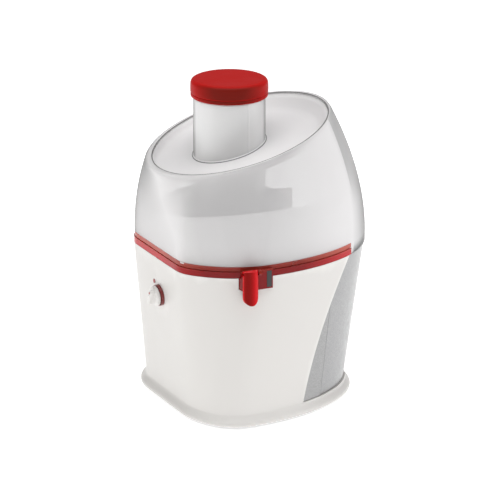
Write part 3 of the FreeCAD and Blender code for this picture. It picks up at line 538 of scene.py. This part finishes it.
def bead(name, loop, radius, material, body):
    """A thin round bead along a closed loop of points."""
    count, around = len(loop), 8
    verts, faces = [], []
    for i, point in enumerate(loop):
        ahead = (loop[(i + 1) % count] - loop[i - 1]).normalized()
        side = ahead.cross(Vector((0, 0, 1))).normalized()
        up = side.cross(ahead)
        for k in range(around):
            a = 2 * pi * k / around
            verts.append(point + (side * cos(a) + up * sin(a)) * (radius * MM))
            here, there, step = i * around, (i + 1) % count * around, (k + 1) % around
            faces.append((here + k, here + step, there + step, there + k))
    piece = new_piece(name, verts, faces, material, body, 60)


def circle_on(plane, centre_x, radius, lift=0.0):
    """A loop that is a circle seen from above, and lies on a sloping plane or a little off it."""
    points = []
    for i in range(SEGMENTS):
        angle = 2 * pi * i / SEGMENTS
        x, y = centre_x + radius * cos(angle), radius * sin(angle)
        points.append(place(x, y, plane(x) + lift))
    return points


def between(first, second, share, lift=0.0):
    """A loop a share of the way from one loop to another, raised by so many millimetres."""
    return [a.lerp(b, share) + Vector((0, 0, lift * MM)) for a, b in zip(first, second)]


def lid():
    """The clear lid: a wall from the rim to a rounded crest, and the frosted dish inside it."""
    skirt_low = [place(x, y, RIM_Z + 0.5 if x > SKIRT_LOW_X else LID_Z) for x, y in rim_outline(LID_INSET)]
    loops = [skirt_low]
    loops += [lid_wall(k / LID_STEPS * LID_WALL_SHARE) for k in range(LID_STEPS + 1)]
    shoulder = lid_wall(1.0)
    crest = circle_on(rim_plane, RIM_X, RIM_R + 0.5, -0.1)
    loops.append(between(loops[-1], between(shoulder, crest, 0.12), 0.6))
    for share, lift in ((0.2, 0.0), (0.45, 0.15), (0.7, 0.1)):
        loops.append(between(shoulder, crest, share, lift))
    loops.append(crest)
    loops.append(circle_on(rim_plane, RIM_X, RIM_R - 0.2, -0.9))
    rim_inner = circle_on(rim_plane, RIM_X, RIM_R - 0.8, -2.0)
    floor_edge = circle_on(floor_plane, FLOOR_X, FLOOR_R)
    loops.append(rim_inner)
    verts, faces = skin(loops)
    piece = new_piece("lid", verts, faces, MATERIALS["clear_lid"], "lid")
    sharpen_columns(piece.data, [column for facet in FACETS for column in facet], CREASE_LOW_Z)
    thicken(piece, WALL)
    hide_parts("lid_shell")
    # A dark bead just inside the crest: a painted shade line along the rim.
    rim = circle_on(rim_plane, RIM_X, RIM_R - 0.3, -0.6)
    bead("lid_rim_bead", rim, 0.55, MATERIALS["smoky_edge"], "lid")

    loops = [rim_inner]
    for share in (0.25, 0.5, 0.75):
        loops.append(between(rim_inner, floor_edge, share, -1.5 * sin(share * pi)))
    loops.append(floor_edge)
    for share in (0.15, 0.4, 0.7):
        loops.append(between(floor_edge, circle_on(floor_plane, CHUTE_X, CHUTE_R + 3), share))
    loops.append(circle_on(floor_plane, CHUTE_X, CHUTE_R + 3))
    loops.append(circle_on(floor_plane, CHUTE_X, CHUTE_R + 1.0, 0.5))
    loops.append(circle_on(floor_plane, CHUTE_X, CHUTE_R + 0.15, 2.2))
    verts, faces = skin(loops)
    dish = new_piece("lid_dish", verts, faces, MATERIALS["frosted_dish"], "lid")
    thicken(dish, WALL)
    # A dark bead round the chute's foot: a painted shade line in the crease between chute and dish.
    foot = circle_on(floor_plane, CHUTE_X, CHUTE_R + 0.9, 0.7)
    bead("chute_foot_bead", foot, 0.5, MATERIALS["smoky_edge"], "lid")


def chute():
    """An open tube with rolled lips and one fine raised line down its front."""
    count = 2 * SEGMENTS
    profile = rounded([
        (CHUTE_BORE_R, CHUTE_LOW_Z), (CHUTE_R, CHUTE_LOW_Z), (CHUTE_R, CHUTE_TOP_Z - 1.0),
        (CHUTE_R - 0.6, CHUTE_TOP_Z), (CHUTE_BORE_R, CHUTE_TOP_Z), (CHUTE_BORE_R, CHUTE_LOW_Z)], 0.7, 3)
    loops = []
    for radius, z in profile:
        loop = []
        for i in range(count):
            angle = 360 * i / count
            off = abs((angle - RIB_ANGLE + 180) % 360 - 180)
            outside = radius > CHUTE_BORE_R + 1.5
            ridge = RIB_HEIGHT * max(0.0, 1 - off / RIB_HALF_ANGLE) if outside else 0.0
            reach = radius + ridge
            loop.append(place(CHUTE_X + reach * cos(radians(angle)), reach * sin(radians(angle)), z))
        loops.append(loop)
    verts, faces = skin(loops)
    piece = new_piece("chute", verts, faces, MATERIALS["clear_chute"], "lid", 20)
    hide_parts("feed_chute")


def knob():
    """A domed disc with a tapered, rounded grip bar across it."""
    side = Vector((0, -1, 0))
    up = side.cross(KNOB_OUT).normalized()
    if up.z < 0:
        up = -up
    turn = radians(GRIP_TURN)
    along, across = up * cos(turn) + side * sin(turn), side * cos(turn) - up * sin(turn)
    disc = []
    for radius, out in rounded([(3.1, 3.8), (KNOB_R, 3.8), (KNOB_R + 0.1, 4.8), (KNOB_R - 0.5, 6.8),
                                (KNOB_R - 2.5, 7.5), (2.0, 7.8)], 0.6, 3):
        disc.append([
            KNOB_SEAT + KNOB_OUT * (out * MM) + (up * cos(a) + side * sin(a)) * (radius * MM)
            for a in (2 * pi * i / 72 for i in range(72))])
    verts, faces = skin(disc, (True, True))
    grip = []
    for half_length, half_width, out in (
            (9.2, 3.8, 7.2), (9.0, 3.1, 8.2), (8.9, 2.8, 11.0), (8.5, 2.3, 12.2), (7.8, 1.4, 12.6)):
        loop = []
        for i in range(48):
            a = 2 * pi * i / 48
            x, y = cos(a), sin(a)
            grow = (abs(x) ** 5 + abs(y) ** 5) ** -0.2
            loop.append(KNOB_SEAT + KNOB_OUT * (out * MM) + along * (half_length * MM * x * grow)
                        + across * (half_width * MM * y * grow))
        grip.append(loop)
    grip_verts, grip_faces = skin(grip, (True, True))
    start = len(verts)
    faces += [tuple(start + i for i in face) for face in grip_faces]
    piece = new_piece("knob", verts + grip_verts, faces, MATERIALS["white_knob"], "knob", 50)
    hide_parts("control_knob")


def cap():
    """The pusher's cap: a shallow groove near its foot, an upright side and a rounded, nearly flat top."""
    top = CAP_Z + CAP_H
    profile = [
        (CHUTE_BORE_R, CAP_Z + 0.1), (CAP_R - 1.2, CAP_Z), (CAP_R - 0.3, CAP_Z + 0.9),
        (CAP_R - 0.3, CAP_Z + 3.6), (CAP_R - 0.9, CAP_Z + 4.1), (CAP_R - 0.1, CAP_Z + 4.9),
        (CAP_R, CAP_Z + 9.0), (CAP_R - 0.3, top - 3.4), (CAP_R - 1.3, top - 1.4),
        (CAP_R - 3.6, top - 0.2), (CAP_R - 8.0, top), (CAP_R - 20.0, top - 0.1), (2.0, top - 0.1)]
    verts, faces = skin(lathe(rounded(profile, 1.2, 4), CHUTE_X), (True, True))
    piece = new_piece("cap", verts, faces, MATERIALS["red_cap"], "pusher")
    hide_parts("pusher_cap")


# ---------------------------------------------------------------- stage, light and camera
# Metres and degrees from here on.
CAMERA_AZIMUTH, CAMERA_ELEVATION = 25.5, 17.8   # to the left of the front, and above level
CAMERA_DISTANCE, TARGET_Z = 4.0, 0.149
FRAME_WIDTH, SENSOR = 0.5, 36.0   # what the picture spans at the target, and the sensor in millimetres
FLOOR_REACH = 30.0                # on every side, so that the floor shows behind the object from all round
SKY_LIGHT, SKY_SEEN = 0.27, 1.0   # the sky is a soft fill light, and plain white where it is looked at


def studio():
    """A pale paper floor."""
    material, tree, shader = new_material("backdrop_paper")
    paper = blend_colours(tree, noise(tree, 2.0, 4.0), (0.93, 0.93, 0.93), (0.91, 0.91, 0.91))
    tree.links.new(paper, shader.inputs["Base Color"])
    shader.inputs["Roughness"].default_value = 0.9
    shader.inputs["Emission Color"].default_value = (1.0, 1.0, 1.0, 1.0)
    shader.inputs["Emission Strength"].default_value = 0.62
    verts = [(FLOOR_REACH * x, FLOOR_REACH * y, 0.0) for x, y in ((-1, -1), (1, -1), (1, 1), (-1, 1))]
    faces = [(0, 1, 2, 3)]
    mesh = bpy.data.meshes.new("backdrop")
    mesh.from_pydata([tuple(v) for v in verts], [], faces)
    smooth(mesh, 60)
    floor = bpy.data.objects.new("backdrop", mesh)
    bpy.context.scene.collection.objects.link(floor)
    mesh.materials.append(material)


def area_light(name, where, target, size, power, colour):
    """A softbox that faces the target."""
    data = bpy.data.lights.new(name, "AREA")
    data.shape = "RECTANGLE"
    data.size, data.size_y = size
    data.energy = power
    data.color = colour
    lamp = bpy.data.objects.new(name, data)
    lamp.location = where
    lamp.rotation_euler = (Vector(target) - Vector(where)).to_track_quat("-Z", "Y").to_euler()
    bpy.context.scene.collection.objects.link(lamp)




def spot(azimuth, elevation, distance, target):
    """A point at a distance from the target; the azimuth goes to the left of the front."""
    a, e = radians(-azimuth), radians(elevation)
    return target + distance * Vector((sin(a) * cos(e), -cos(a) * cos(e), sin(e)))


def lights_and_camera():
    """The camera, three softboxes and a pale sky."""
    target = Vector((ORIGIN.x, ORIGIN.y, TARGET_Z))
    data = bpy.data.cameras.new("camera")
    data.lens = CAMERA_DISTANCE / FRAME_WIDTH * SENSOR
    data.sensor_width = SENSOR
    camera = bpy.data.objects.new("camera", data)
    camera.location = spot(CAMERA_AZIMUTH, CAMERA_ELEVATION, CAMERA_DISTANCE, target)
    camera.rotation_euler = (target - camera.location).to_track_quat("-Z", "Y").to_euler()
    bpy.context.scene.collection.objects.link(camera)
    bpy.context.scene.camera = camera
    area_light("left_box", spot(82, 28, 1.9, target), target, (1.8, 1.8), 10.5, (1.0, 0.99, 0.97))
    area_light("right_box", spot(-52, 22, 2.1, target), target, (1.4, 1.8), 13.5, (1.0, 0.99, 0.99))
    area_light("top_box", spot(10, 82, 1.8, target), target, (1.8, 1.8), 26.0, (1.0, 1.0, 1.0))
    world = bpy.data.worlds.new("soft_white")
    world.use_nodes = True
    sky = world.node_tree.nodes["Background"]
    sky.inputs["Color"].default_value = (1, 1, 1, 1)
    path = world.node_tree.nodes.new("ShaderNodeLightPath")
    seen = world.node_tree.nodes.new("ShaderNodeMapRange")
    seen.inputs["To Min"].default_value = SKY_LIGHT
    seen.inputs["To Max"].default_value = SKY_SEEN
    world.node_tree.links.new(path.outputs["Is Camera Ray"], seen.inputs["Value"])
    world.node_tree.links.new(seen.outputs["Result"], sky.inputs["Strength"])
    bpy.context.scene.world = world
    bpy.context.scene.view_settings.view_transform = "Standard"


dress_cad_nodes()
lid()
chute()
cap()
knob()
studio()
lights_and_camera()
